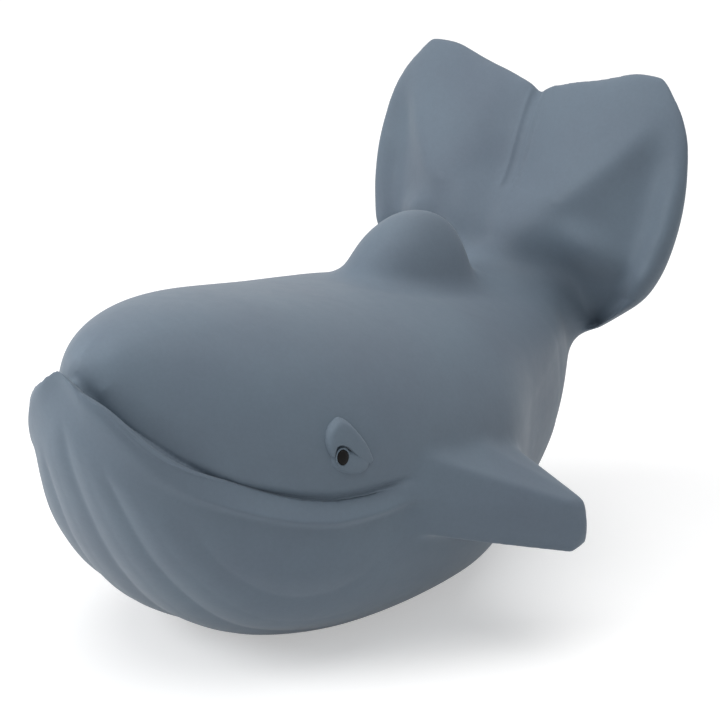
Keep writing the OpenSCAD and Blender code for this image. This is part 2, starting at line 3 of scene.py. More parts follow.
import bpy
import numpy as np
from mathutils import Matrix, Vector


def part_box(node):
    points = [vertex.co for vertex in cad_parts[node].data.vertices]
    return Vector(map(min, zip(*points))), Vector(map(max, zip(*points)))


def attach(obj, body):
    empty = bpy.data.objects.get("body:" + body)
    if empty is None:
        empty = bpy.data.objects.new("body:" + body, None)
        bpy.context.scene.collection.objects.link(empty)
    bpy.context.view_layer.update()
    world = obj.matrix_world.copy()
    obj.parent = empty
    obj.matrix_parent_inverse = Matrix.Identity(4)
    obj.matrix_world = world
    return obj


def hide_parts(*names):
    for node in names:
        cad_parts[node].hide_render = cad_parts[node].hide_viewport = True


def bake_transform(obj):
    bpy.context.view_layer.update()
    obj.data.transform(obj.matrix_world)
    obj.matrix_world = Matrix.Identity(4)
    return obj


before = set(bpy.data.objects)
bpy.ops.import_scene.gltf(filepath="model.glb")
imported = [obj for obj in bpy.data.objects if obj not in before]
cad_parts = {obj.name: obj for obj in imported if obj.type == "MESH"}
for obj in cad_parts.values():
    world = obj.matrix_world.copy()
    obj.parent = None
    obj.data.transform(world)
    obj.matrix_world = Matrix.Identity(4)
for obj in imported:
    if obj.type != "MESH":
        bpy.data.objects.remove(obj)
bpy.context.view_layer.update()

# Flippers
# Two blunt swept paddles of solid rubber, cast in one with the body. Each has a broad root that runs
# forward along the flank to the corner of the mouth, a sloped top and an upright front face.
mm = 0.001
paddle_corners = [
    (26, -18.5, 33), (26, 9, 31), (26, 9.5, 17), (26, -18.5, 22),
    (33.4, -20.4, 27), (33.4, -20.6, 22.5), (32.2, -17, 34.8), (32.8, -3.1, 33.4), (32.3, 5.5, 30.4),
    (33, 10.8, 25.4), (33, 10.3, 17), (47.3, 2.6, 24.8), (47.9, 6.1, 24.2), (49, 5, 20.5),
    (48.3, 2.2, 16.2), (48.4, 6, 17)]
paddle_round = 2.1 * mm
paddle_round_steps = 3
paddle_edge = math.radians(25)


def pick(piece):
    bpy.ops.object.select_all(action="DESELECT")
    piece.select_set(True)
    bpy.context.view_layer.objects.active = piece


def apply_modifier(piece, kind, **settings):
    pick(piece)
    modifier = piece.modifiers.new(kind.lower(), kind)
    for key, value in settings.items():
        setattr(modifier, key, value)
    bpy.ops.object.modifier_apply(modifier=modifier.name)


def paddle(name, side):
    mesh = bpy.data.meshes.new(name)
    mesh.from_pydata([(x * mm * side, y * mm, z * mm) for x, y, z in paddle_corners], [], [])
    piece = bpy.data.objects.new(name, mesh)
    bpy.context.scene.collection.objects.link(piece)
    pick(piece)
    bpy.ops.object.mode_set(mode="EDIT")
    bpy.ops.mesh.select_all(action="SELECT")
    bpy.ops.mesh.convex_hull()
    bpy.ops.mesh.normals_make_consistent(inside=False)
    bpy.ops.object.mode_set(mode="OBJECT")
    apply_modifier(piece, "BEVEL", width=paddle_round, segments=paddle_round_steps,
                   limit_method="ANGLE", angle_limit=paddle_edge)
    return piece


paddles = [paddle("left_paddle_form", 1), paddle("right_paddle_form", -1)]

# Rubber casting
# The whale's skin is one hollow moulding of soft natural rubber, cast in one piece from lip to flukes.
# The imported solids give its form. Here they are run together and the joins between them close up.
cast_nodes = ["upper_shell", "press_ring", "press_pad", "lower_shell", "dorsal_fin", "tail_stock",
              "tail_flukes"]
same_point = 0.01 * mm
hard_edge = math.radians(50)
quad_shape = math.radians(80)
curve_levels = 2
grain = 0.5 * mm
seam_fill = 0.5 * mm
seam_smoothing = 6
skin_smoothing = 4
smooth_share = 0.5
weight_levels = 10


def copy_of(node):
    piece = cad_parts[node].copy()
    piece.data = piece.data.copy()
    piece.parent = None
    for key in list(piece.keys()):
        del piece[key]
    bpy.context.scene.collection.objects.link(piece)
    return piece


def points_of(piece):
    co = np.empty(len(piece.data.vertices) * 3)
    piece.data.vertices.foreach_get("co", co)
    return co.reshape(-1, 3) / mm


def normals_of(piece):
    co = np.empty(len(piece.data.vertices) * 3)
    piece.data.vertices.foreach_get("normal", co)
    return co.reshape(-1, 3)


def centres_of(piece):
    co = np.empty(len(piece.data.polygons) * 3)
    piece.data.polygons.foreach_get("center", co)
    return co.reshape(-1, 3) / mm


def move_to(piece, points):
    piece.data.vertices.foreach_set("co", (points * mm).astype(np.float32).ravel())
    piece.data.update()


def ease(value, start, end):
    t = np.clip((value - start) / (end - start), 0, 1)
    return t * t * (3 - 2 * t)


def bump(value, width):
    return np.exp(-(value / width) ** 2)


def select_faces(piece, chosen):
    pick(piece)
    bpy.ops.object.mode_set(mode="EDIT")
    bpy.ops.mesh.select_mode(type="FACE")
    bpy.ops.mesh.select_all(action="DESELECT")
    bpy.ops.object.mode_set(mode="OBJECT")
    piece.data.polygons.foreach_set("select", chosen)
    bpy.ops.object.mode_set(mode="EDIT")


def smooth_where(piece, weights, repeat):
    group = piece.vertex_groups.new(name="soften")
    for level in range(1, weight_levels + 1):
        near = np.flatnonzero(np.round(weights * weight_levels) == level)
        group.add(near.tolist(), level / weight_levels, "REPLACE")
    apply_modifier(piece, "SMOOTH", factor=smooth_share, iterations=repeat, vertex_group="soften")
    piece.vertex_groups.remove(piece.vertex_groups["soften"])


bpy.ops.object.select_all(action="DESELECT")
castings = [copy_of(node) for node in cast_nodes]
for casting in castings:
    casting.select_set(True)
skin = castings[0]
bpy.context.view_layer.objects.active = skin
bpy.ops.object.join()
skin.name = "whale_skin"
bpy.ops.object.mode_set(mode="EDIT")
bpy.ops.mesh.select_all(action="SELECT")
bpy.ops.mesh.remove_doubles(threshold=same_point)
bpy.ops.mesh.select_mode(type="FACE")
bpy.ops.mesh.select_all(action="DESELECT")
bpy.ops.mesh.select_interior_faces()
bpy.ops.mesh.delete(type="FACE")
bpy.ops.mesh.select_all(action="SELECT")
bpy.ops.mesh.tris_convert_to_quads(face_threshold=hard_edge, shape_threshold=quad_shape)
bpy.ops.mesh.select_mode(type="EDGE")
bpy.ops.mesh.select_all(action="DESELECT")
bpy.ops.mesh.edges_select_sharp(sharpness=hard_edge)
bpy.ops.transform.edge_crease(value=1)
bpy.ops.object.mode_set(mode="OBJECT")
apply_modifier(skin, "SUBSURF", levels=curve_levels, render_levels=curve_levels)

# The squeaker's bore and the gap under the nose are stopped while the skin is run together, so that
# only its outside is kept
barrel_low, barrel_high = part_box("squeaker_barrel")
stop_radius = 6.2 * mm
stop_low = 2.2 * mm
stop_high = 6 * mm
stop_sides = 48
plug_size = (6 * mm, 2.6 * mm, 2.4 * mm)
plug_place = (0, -59.6 * mm, 53 * mm)
bpy.ops.mesh.primitive_cylinder_add(
    vertices=stop_sides, radius=stop_radius, depth=stop_high - stop_low,
    location=((barrel_low.x + barrel_high.x) / 2, (barrel_low.y + barrel_high.y) / 2,
              (stop_low + stop_high) / 2))
stop = bpy.context.object
bpy.ops.mesh.primitive_uv_sphere_add(segments=24, ring_count=12, radius=1, location=plug_place,
                                     scale=plug_size)
plug = bpy.context.object
for form in paddles + [stop, plug]:
    form.select_set(True)
bpy.ops.object.transform_apply()
skin.select_set(True)
bpy.context.view_layer.objects.active = skin
bpy.ops.object.join()
apply_modifier(skin, "DISPLACE", strength=seam_fill, mid_level=0, direction="NORMAL")
apply_modifier(skin, "REMESH", mode="VOXEL", voxel_size=grain)
apply_modifier(skin, "SMOOTH", factor=smooth_share, iterations=seam_smoothing)
apply_modifier(skin, "DISPLACE", strength=-seam_fill, mid_level=0, direction="NORMAL")
apply_modifier(skin, "SMOOTH", factor=smooth_share, iterations=skin_smoothing)

# Fillets where the fin, the flippers and the tail grow out of the body. Here and below, a pair of
# numbers is a stretch over which a form comes in or fades out: in millimetres, in degrees where it
# goes by the turn from the nose, or in shares where it goes by the way that the skin faces
fin_middle = 18.8
fin_half_width = 9.5
fin_half_length = 14.5
fin_foot_ring = 1.08
fin_foot_width = 0.24
fin_foot_low = 40
flipper_root_inner = (29.5, 31.5)
flipper_root_outer = (34.5, 36.5)
flipper_root_front = (-27, -24)
flipper_root_rear = (14, 17)
flipper_root_low = (10, 13)
flipper_root_high = (37, 39)
tail_plane = np.array((0, 0.938, 0.346))
waist_start = (44, 48)
waist_end = (58, 62)
waist_high = (54, 58)
waist_side = (14, 19)
fin_smoothing = 160
tail_smoothing = 260
flipper_smoothing = 30
x, y, z = points_of(skin).T
fin_foot = np.hypot(x / fin_half_width, (y - fin_middle) / fin_half_length)
near_fin = bump(fin_foot - fin_foot_ring, fin_foot_width) * (z > fin_foot_low)
near_flipper = (ease(np.abs(x), *flipper_root_inner) * (1 - ease(np.abs(x), *flipper_root_outer))
                * ease(y, *flipper_root_front) * (1 - ease(y, *flipper_root_rear))
                * ease(z, *flipper_root_low) * (1 - ease(z, *flipper_root_high)))
tail_way = tail_plane[1] * y + tail_plane[2] * z
near_tail = (ease(tail_way, *waist_start) * (1 - ease(tail_way, *waist_end))
             * (1 - ease(z, *waist_high)) * (1 - ease(np.abs(x), *waist_side)))
smooth_where(skin, near_fin, fin_smoothing)
smooth_where(skin, near_tail, tail_smoothing)
smooth_where(skin, near_flipper, flipper_smoothing)

# The brow, the back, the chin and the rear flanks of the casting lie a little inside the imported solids
brow_in = 1.2
brow_ahead = (24, 56)
brow_low = (44, 63)
spine_in = 0.85
spine_low = (38, 57)
spine_rear = (4, 16)
spine_ahead = (-20, 10)
chin_in = 0.5
chin_ahead = (5, 25)
chin_high = (30, 42)
chin_low = (1, 6)
flank_in = 2.2
flank_start = (6, 22)
flank_end = (24, 46)
flank_low = (0, 16)
flank_high = (28, 54)
head_middle = (0, -18, 32)
rump_middle = (0, 12, 30)
points = points_of(skin)
x, y, z = points.T
brow = brow_in * ease(-y, *brow_ahead) * ease(z, *brow_low)
spine = spine_in * ease(z, *spine_low) * (1 - ease(y, *spine_rear)) * ease(-y, *spine_ahead)
chin = chin_in * ease(-y, *chin_ahead) * (1 - ease(z, *chin_high)) * ease(z, *chin_low)
flank = (flank_in * ease(y, *flank_start) * (1 - ease(y, *flank_end)) * ease(z, *flank_low)
         * (1 - ease(z, *flank_high)))
for amount, middle in ((brow + spine + chin, head_middle), (flank, rump_middle)):
    way_in = middle - points
    points += way_in * (amount / np.linalg.norm(way_in, axis=1))[:, None]
move_to(skin, points)

# Lip: the line where the jaws meet, from the nose to the flank, seen round the middle of the head
mouth_middle = -8
mouth_line = np.array([
    (-5.3, -60.2, 49), (0, -62.5, 54.5), (5.3, -60.2, 49), (11.8, -54.5, 42.4), (19.5, -46, 36.6),
    (27.5, -34, 32.4), (32, -20, 30.4), (33, -4, 30), (31, 12, 31)])
line_steps = 20


def along_points(corners, steps):
    parts = []
    for before, start, end, after in zip(corners, corners[1:], corners[2:], corners[3:]):
        t = np.arange(steps)[:, None] / steps
        parts.append(0.5 * (2 * start + (end - before) * t
                            + (2 * before - 5 * start + 4 * end - after) * t ** 2
                            + (3 * start - before - 3 * end + after) * t ** 3))
    return np.concatenate(parts)


seam = along_points(mouth_line, line_steps)
seam_turn = np.arctan2(seam[:, 0], mouth_middle - seam[:, 1])
seam_reach = np.hypot(seam[:, 0], seam[:, 1] - mouth_middle)
# The carved mouth dips under the mould's seam along the cheek and turns up at its corner
dip_turn = (0, 4, 12, 30, 40, 48, 58, 68, 76)
dip_depth = (-0.6, -1.7, -2, -2, -1.85, -1.45, -0.4, 0.6, 0.8)


def lip_frame(points):
    turn = np.arctan2(np.abs(points[:, 0]), mouth_middle - points[:, 1])
    reach = np.hypot(points[:, 0], points[:, 1] - mouth_middle)
    out = reach - np.interp(turn, seam_turn, seam_reach)
    up = points[:, 2] - np.interp(turn, seam_turn, seam[:, 2])
    return np.degrees(turn), out, up


def mouth_dip(turn):
    return np.interp(turn, dip_turn, dip_depth)


eye_seat = np.array((28.11, -31.88, 37.85))
lip_fine_turn = 76
lip_fine_out = 5
lip_fine_low = -4.5
lip_fine_high = 2.5
eye_fine = 8.5
groove_fine_side = 3.2
groove_fine_low = 50
groove_fine_front = 44
groove_fine_rear = 58
fine_smoothing = 2


def mirrored(points):
    return points * np.where(points[:, :1] < 0, (-1, 1, 1), (1, 1, 1))


centres = centres_of(skin)
turn, out, up = lip_frame(centres)
fine = ((turn < lip_fine_turn) & (np.abs(out) < lip_fine_out) & (up > lip_fine_low)
        & (up < lip_fine_high))
fine |= np.linalg.norm(mirrored(centres) - eye_seat, axis=1) < eye_fine
fine |= ((np.abs(centres[:, 0]) < groove_fine_side) & (centres[:, 2] > groove_fine_low)
         & (centres[:, 1] > groove_fine_front) & (centres[:, 1] < groove_fine_rear))
select_faces(skin, fine)
bpy.ops.mesh.subdivide(number_cuts=1)
bpy.ops.object.mode_set(mode="OBJECT")
apply_modifier(skin, "SMOOTH", factor=smooth_share, iterations=fine_smoothing)

# The lower lip is lifted and blunt at the front, rolls over along the cheek and has a hollow below it
dip_height = 5
dip_depth_in = (-9, -3)
dip_end = (74, 90)
mouth_end = (62, 74)
front_end = (5, 50)
ledge_lift = 1.6
ledge_end = (6, 20)
ledge_edge = (-0.6, 0.6)
front_lift = 1.2
cheek_lift = 0.9
cheek_turn = 8
cheek_width = 5
lift_edge = (0.3, 2)
lift_foot = (-8, -1)
roll_in = 2.8
roll_height = 2.8
roll_curve = 1.25
roll_edge = (0.3, 1.5)
roll_start = (13, 32)
lip_hollow_in = 1.2
lip_hollow_high = (2.5, 4.4)
lip_hollow_low = (5, 14)
lip_hollow_edge = (-2, 0)
lip_hollow_start = (10, 30)
lip_hollow_end = (62, 80)
blunt_out = 0.9
blunt_below = 0.5
blunt_height = 2.6
blunt_end = (12, 26)
blunt_edge = (0, 1.5)
upper_lip_out = 0.4
upper_lip_above = 1
upper_lip_height = 2
upper_lip_low = (-0.2, 0.6)
upper_lip_start = (3, 10)
upper_lip_end = (30, 60)
crease_front = 0.2
crease_cheek = 0.5
crease_cheek_turn = (3, 20)
crease_corner = 0.8
crease_corner_turn = (20, 40)
crease_place = 0.2
crease_width = 0.9
lip_middle = (0, -64, 54.5)
lip_size = (6, 3.5, 3.5)
lip_smoothing = 40
peak_middle = (0, -64, 56)
peak_size = (3.5, 2, 2)
peak_smoothing = 160
points = points_of(skin)
turn, out, up = lip_frame(points)
points[:, 2] += (mouth_dip(turn) * bump(up, dip_height) * ease(out, *dip_depth_in)
                 * (1 - ease(turn, *dip_end)))
up = lip_frame(points)[2] - mouth_dip(turn)
inward = np.stack((-points[:, 0], mouth_middle - points[:, 1], np.zeros(len(points))), axis=1)
inward /= np.linalg.norm(inward, axis=1)[:, None]
mouth = 1 - ease(turn, *mouth_end)
front = 1 - ease(turn, *front_end)
ledge = ledge_lift * (1 - ease(turn, *ledge_end)) * ease(out, *ledge_edge)
rise = front_lift * front + cheek_lift * bump(turn - cheek_turn, cheek_width)
lift = (ledge + rise * ease(out, *lift_edge)) * ease(up, *lift_foot)
roll = (roll_in * np.clip((up + roll_height) / roll_height, 0, 1) ** roll_curve
        * ease(out, *roll_edge) * ease(turn, *roll_start))
below_lip = (lip_hollow_in * ease(-up, *lip_hollow_high) * (1 - ease(-up, *lip_hollow_low))
             * ease(out, *lip_hollow_edge) * ease(turn, *lip_hollow_start)
             * (1 - ease(turn, *lip_hollow_end)))
lip_front = (blunt_out * bump(up + blunt_below, blunt_height) * (1 - ease(turn, *blunt_end))
             * ease(out, *blunt_edge))
upper_lip = (upper_lip_out * bump(up - upper_lip_above, upper_lip_height) * ease(up, *upper_lip_low)
             * ease(turn, *upper_lip_start) * (1 - ease(turn, *upper_lip_end)))
crease = (crease_front + crease_cheek * ease(turn, *crease_cheek_turn)
          + crease_corner * ease(turn, *crease_corner_turn))
crease *= bump(np.hypot(out - crease_place, up - crease_place), crease_width)
points[:, 2] += mouth * lift
points += inward * (mouth * (crease + roll - lip_front - upper_lip) + below_lip)[:, None]
move_to(skin, points)
near_lip = bump(np.linalg.norm((points - lip_middle) / lip_size, axis=1), 1)
near_peak = bump(np.linalg.norm((points - peak_middle) / peak_size, axis=1), 1)
smooth_where(skin, near_lip, lip_smoothing)
smooth_where(skin, near_peak, peak_smoothing)

# Throat: soft pleats that start under the lip and fade out along the belly
pleat_height = 0.5
pleat_count = 3
pleat_turn = 29.6
pleat_middle = 0.5
pleat_edge = 0.02
pleat_fill = 0.3
throat_front = -60
throat_half_width = 15.2
throat_flare = 0.04
pleat_high = (6, 13)
pleat_rear = (-34, -10)
pleat_facing = (-0.2, 0.2)
pleat_low = (0.5, 4)
points = points_of(skin)
normals = normals_of(skin)
turn, out, up = lip_frame(points)
flare = 1 + throat_flare * (points[:, 1] - throat_front)
spread = np.clip(np.abs(points[:, 0]) / flare / throat_half_width, 0, 1)
pleat = np.degrees(np.arcsin(spread)) / pleat_turn
crest = 1 - np.abs(2 * (pleat - np.floor(pleat)) - 1)
crest = pleat_middle - np.sqrt((1 - crest) ** 2 + pleat_edge) + pleat_fill * np.sin(math.pi * crest)
on_throat = (ease(-up, *pleat_high) * (1 - ease(points[:, 1], *pleat_rear)) * (pleat < pleat_count)
             * (1 - ease(normals[:, 2], *pleat_facing)) * ease(points[:, 2], *pleat_low))
points += normals * (pleat_height * crest * on_throat)[:, None]
move_to(skin, points)

# Flukes: a flat upper face on each lobe, a soft ridge that it ends at, and a face below that turns
# under. A fine line runs down each side of the middle groove
fluke_out = np.array((0, -0.968, 0.25))
fluke_ridge = along_points(np.array([
    (-6, 51), (0, 53), (6, 56), (9.7, 58.1), (16.6, 62.2), (21, 66.6), (24.6, 70.6), (26.8, 75),
    (27.6, 80), (28, 86)]), line_steps)
outline_height = (35.9, 39.1, 44.6, 52.1, 59, 66.6, 73.9, 77.3, 80, 82)
outline_side = (16.7, 23.4, 29.2, 32.8, 34, 33.8, 32.1, 30.4, 27.1, 23.8)
ridge_step = 4
fluke_start = (41, 44)
fluke_facing = (0.05, 0.5)
not_fluke = -99.0
ridge_rise = 1.3
ridge_round = 3
ridge_fall = 5
ridge_side = (2, 9)
ridge_high = (64, 78)
ridge_edge = (0, 5)
under_in = 5.5
least_edge = 0.1
under_edge = (0, 8)
under_side = (7, 15)
under_high = (68, 77)
root_rise = 2.2
root_rise_high = (53, 65)
root_rise_low = (45, 54)
root_rise_side = (3.5, 9)
root_lean = 0.5
root_lean_height = 62
line_side = 1.4
line_width = 0.4
line_rise = 0.2
groove_width = 0.9
groove_in = 0.2
groove_low = (53, 58)
groove_high = (76, 79)
top_low = (70, 78)
notch_in = 1.3
notch_width = 1.8
top_dip = 0.8
top_dip_side = 13
top_dip_width = 6
tip_side = 24.5
tip_height = 81
tip_size = 6
tip_in = 0.7
tip_rise = 0.5
lobe_drop = 1.1
lobe_side = 17
lobe_half_width = 7
lobe_height = 37
lobe_half_height = 5
tip_smooth_size = 4
face_smooth_side = (3, 6)
face_smooth_low = (48, 52)
face_smoothing = 60
points = points_of(skin)
x, y, z = points.T
side = np.abs(x)
tail = ease(y, *fluke_start)
fluke_front = ease(normals_of(skin) @ fluke_out, *fluke_facing) * tail
lobes = np.flatnonzero(fluke_front > 0)
flat = np.stack((side, z), axis=1)[lobes]
ridge_gaps = ((flat[:, None] - fluke_ridge[None, ::ridge_step]) ** 2).sum(axis=2)
nearest = np.argmin(ridge_gaps, axis=1) * ridge_step
way = np.gradient(fluke_ridge, axis=0)
way /= np.linalg.norm(way, axis=1)[:, None]
gap = flat - fluke_ridge[nearest]
below = np.full(len(points), not_fluke)
below[lobes] = gap[:, 0] * way[nearest, 1] - gap[:, 1] * way[nearest, 0]
edge = np.clip(np.interp(z, outline_height, outline_side) - side, 0, None)
ridge = (ridge_rise * np.exp(-np.sqrt(below ** 2 + ridge_round) / ridge_fall)
         * ease(side, *ridge_side) * (1 - ease(z, *ridge_high)))
share = np.clip(below, 0, None) / (np.clip(below, 0, None) + edge + least_edge)
under = (under_in * share * (2 - share) * ease(edge, *under_edge) * ease(side, *under_side)
         * (1 - ease(z, *under_high)))
root_side = side + root_lean * (z - root_lean_height)
root_fill = (root_rise * (1 - ease(z, *root_rise_high)) * ease(z, *root_rise_low)
             * (1 - ease(root_side, *root_rise_side)))
groove = line_rise * bump(side - line_side, line_width) - groove_in * bump(side, groove_width)
groove = groove * ease(z, *groove_low) * (1 - ease(z, *groove_high))
points += np.outer(fluke_front * (ease(edge, *ridge_edge) * ridge - under + root_fill + groove), fluke_out)
top_edge = tail * ease(z, *top_low)
points[:, 2] -= top_edge * (notch_in * bump(side, notch_width)
                            + top_dip * bump(side - top_dip_side, top_dip_width))
near_tip = tail * bump(np.hypot(side - tip_side, z - tip_height), tip_size)
points[:, 0] -= tip_in * np.sign(x) * near_tip
points[:, 2] += tip_rise * near_tip
lobe_gap = np.hypot((side - lobe_side) / lobe_half_width, (z - lobe_height) / lobe_half_height)
points[:, 2] -= lobe_drop * tail * bump(lobe_gap, 1)
move_to(skin, points)
near_tip = tail * bump(np.hypot(side - tip_side, z - tip_height), tip_smooth_size)
on_face = fluke_front * ease(side, *face_smooth_side) * ease(z, *face_smooth_low)
smooth_where(skin, np.maximum(near_tip, on_face), face_smoothing)

# The hollow where the flukes rise from the waist
fluke_root_front = (35, 38)
fluke_root_rear = (46, 51)
fluke_root_low = (43, 46)
fluke_root_high = (57, 61)
fluke_root_side = (9, 16)
fluke_root_smoothing = 300
x, y, z = points_of(skin).T
fluke_root = (ease(y, *fluke_root_front) * (1 - ease(y, *fluke_root_rear))
              * ease(z, *fluke_root_low) * (1 - ease(z, *fluke_root_high))
              * (1 - ease(np.abs(x), *fluke_root_side)))
smooth_where(skin, fluke_root, fluke_root_smoothing)
pick(skin)
bpy.ops.object.shade_smooth()


def add_node(tree, kind, **inputs):
    made = tree.nodes.new(kind)
    for key, value in inputs.items():
        made.inputs[key].default_value = value
    return made


def between(tree, source, low, high):
    made = add_node(tree, "ShaderNodeMapRange")
    made.inputs["To Min"].default_value = low
    made.inputs["To Max"].default_value = high
    tree.links.new(source, made.inputs["Value"])
    return made.outputs["Result"]


# Matt dyed rubber: faint clouds in the dye, a fine powdery grain and a soft bloom at grazing angles
rubber = bpy.data.materials.new("rubber")
rubber.use_nodes = True
tree = rubber.node_tree
shader = tree.nodes["Principled BSDF"]
shader.inputs["Sheen Weight"].default_value = 0.12
shader.inputs["Sheen Roughness"].default_value = 0.5
shader.inputs["Specular IOR Level"].default_value = 0.35
place = add_node(tree, "ShaderNodeTexCoord").outputs["Object"]
clouds = add_node(tree, "ShaderNodeTexNoise", Scale=55, Detail=4, Roughness=0.55)
grain_noise = add_node(tree, "ShaderNodeTexNoise", Scale=1500, Detail=3, Roughness=0.6)
pores = add_node(tree, "ShaderNodeTexNoise", Scale=420, Detail=2, Roughness=0.5)
for noise in (clouds, grain_noise, pores):
    tree.links.new(place, noise.inputs["Vector"])
dye = add_node(tree, "ShaderNodeValToRGB")
dye.color_ramp.elements[0].position = 0.3
dye.color_ramp.elements[0].color = (0.120, 0.155, 0.200, 1)
dye.color_ramp.elements[1].position = 0.7
dye.color_ramp.elements[1].color = (0.131, 0.175, 0.221, 1)
tree.links.new(clouds.outputs["Fac"], dye.inputs["Fac"])
speckle = add_node(tree, "ShaderNodeMix")
speckle.data_type = "RGBA"
speckle.blend_type = "MULTIPLY"
speckle.inputs["Factor"].default_value = 1
tree.links.new(dye.outputs["Color"], speckle.inputs["A"])
tree.links.new(between(tree, grain_noise.outputs["Fac"], 0.94, 1.06), speckle.inputs["B"])
tree.links.new(speckle.outputs["Result"], shader.inputs["Base Color"])
tree.links.new(between(tree, pores.outputs["Fac"], 0.54, 0.7), shader.inputs["Roughness"])
relief = add_node(tree, "ShaderNodeBump", Strength=0.12, Distance=0.0001)
tree.links.new(grain_noise.outputs["Fac"], relief.inputs["Height"])
tree.links.new(relief.outputs["Normal"], shader.inputs["Normal"])
skin.data.materials.clear()
skin.data.materials.append(rubber)

# Eyes
# Each lid is a low relief cast with the skin. It hangs over a flattened eyeball, and the pupil on that
# is a spot of dark satin paint inside a fine raised ring.
eye_out = np.array((0.917, -0.382, 0.112))
eye_along = np.array((0.379, 0.924, 0.046))
eye_up = np.array((-0.121, 0, 0.993))
lid_outer = np.array([
    (-1.75, 0.1), (-2.5, 2.2), (-2.45, 3.8), (-1.69, 5.2), (0.08, 6.27), (1.4, 5.7), (2.6, 4.4),
    (4.36, 1.69), (5.2, -0.3), (5.75, -1.9)])
lid_lower = np.array([
    (-1.35, 0.05), (-1.15, 1.1), (-0.95, 1.75), (-0.6, 1.98), (0, 1.95), (0.6, 1.7), (1.2, 1.2),
    (2.6, -0.4), (4, -1.75), (5.3, -2.4)])
lid_columns = 40
lid_levels = 1
eye_reach = 8
most_bevel = 0.6
# Across the lid from its outer border: share of the bevel, share of the width, share of the height
lid_rows = [(0, 0, -0.5), (0, 0, 0), (0.35, 0, 0.5), (0.7, 0, 0.85), (1, 0.05, 1), (1, 0.5, 1.02),
            (1, 0.85, 1), (1, 1, 0.85), (1, 1, 0.3), (1, 1, -0.5)]


def on_skin(along, up):
    start = eye_seat + along * eye_along + up * eye_up + eye_reach * eye_out
    place = skin.ray_cast(Vector(start * mm), Vector(-eye_out))[1]
    return np.array(place) / mm


def border(corners):
    padded = np.concatenate(([2 * corners[0] - corners[1]], corners, [2 * corners[-1] - corners[-2]]))
    line = np.concatenate((along_points(padded, line_steps), corners[-1:]))
    share = np.linspace(0, len(line) - 1, lid_columns + 1)
    index = np.arange(len(line))
    return np.stack((np.interp(share, index, line[:, 0]), np.interp(share, index, line[:, 1])), axis=1)


outer, lower = border(lid_outer), border(lid_lower)
along_lid = np.linspace(0, 1, lid_columns + 1)
lid_height = np.interp(along_lid, (0, 0.15, 0.3, 0.5, 0.7, 0.85, 1),
                       (0.45, 0.9, 1.1, 1.1, 0.9, 0.7, 0.3))
bevel_width = np.interp(along_lid, (0, 0.2, 0.45, 0.65, 1), (0.35, 1.2, 1.1, 0.5, 0.25))
lid_width = np.linalg.norm(lower - outer, axis=1)
bpy.ops.object.select_all(action="DESELECT")
bpy.ops.mesh.primitive_grid_add(x_subdivisions=lid_columns, y_subdivisions=len(lid_rows) - 1, size=1)
left_lid = bpy.context.object
left_lid.name = "left_eyelid"
lid_points = []
for bevel, across, height in lid_rows:
    for k in range(lid_columns + 1):
        bevel_share = min(most_bevel, bevel_width[k] / lid_width[k])
        share = bevel * bevel_share + across * (1 - bevel_share)
        flat = outer[k] + (lower[k] - outer[k]) * share
        rise = height * lid_height[k] if height > 0 else height
        lid_points.append(on_skin(*flat) + rise * eye_out)
move_to(left_lid, np.array(lid_points))
pick(left_lid)
bpy.ops.object.mode_set(mode="EDIT")
bpy.ops.mesh.select_all(action="DESELECT")
bpy.ops.mesh.select_mode(type="EDGE")
bpy.ops.mesh.select_non_manifold()
bpy.ops.mesh.edge_face_add()
bpy.ops.mesh.select_all(action="SELECT")
bpy.ops.mesh.normals_make_consistent(inside=False)
bpy.ops.object.mode_set(mode="OBJECT")
apply_modifier(left_lid, "SUBSURF", levels=lid_levels, render_levels=lid_levels)

ball_place = (1.35, -1.1)
ball_size = np.array((3.5, 1.9, 0.9))
ball_turn = math.radians(-22)
ball_sink = 0.1
pupil_size = np.array((1.0, 1.28, 0.5))
pupil_sink = 0.04
ring_size = np.array((1.13, 1.41, 1.2))
ring_wire = 0.13


def eye_points(piece, turn, size, seat):
    flat = points_of(piece) * mm * size
    c, s = math.cos(turn), math.sin(turn)
    t = flat[:, 0] * c - flat[:, 1] * s
    v = flat[:, 0] * s + flat[:, 1] * c
    return seat + np.outer(t, eye_along) + np.outer(v, eye_up) + np.outer(flat[:, 2], eye_out)


ball_seat = on_skin(*ball_place) - ball_sink * eye_out
bpy.ops.object.select_all(action="DESELECT")
bpy.ops.mesh.primitive_uv_sphere_add(segments=48, ring_count=24, radius=1)
ball = bpy.context.object
move_to(ball, eye_points(ball, ball_turn, ball_size, ball_seat))

# The pupil's place on the ball, which is lower there than at its middle
c, s = math.cos(ball_turn), math.sin(ball_turn)
off_t, off_v = -ball_place[0], -ball_place[1]
near = ((off_t * c + off_v * s) / ball_size[0]) ** 2 + ((off_v * c - off_t * s) / ball_size[1]) ** 2
pupil_seat = (ball_seat + off_t * eye_along + off_v * eye_up
              + (ball_size[2] * math.sqrt(1 - near) - pupil_sink) * eye_out)
bpy.ops.object.select_all(action="DESELECT")
bpy.ops.mesh.primitive_torus_add(major_segments=48, minor_segments=12, major_radius=1,
                                 minor_radius=ring_wire)
ring = bpy.context.object
move_to(ring, eye_points(ring, 0, ring_size, pupil_seat))
pick(left_lid)
ball.select_set(True)
ring.select_set(True)
bpy.ops.object.join()
bpy.ops.object.shade_smooth()
left_lid.data.materials.clear()
left_lid.data.materials.append(rubber)

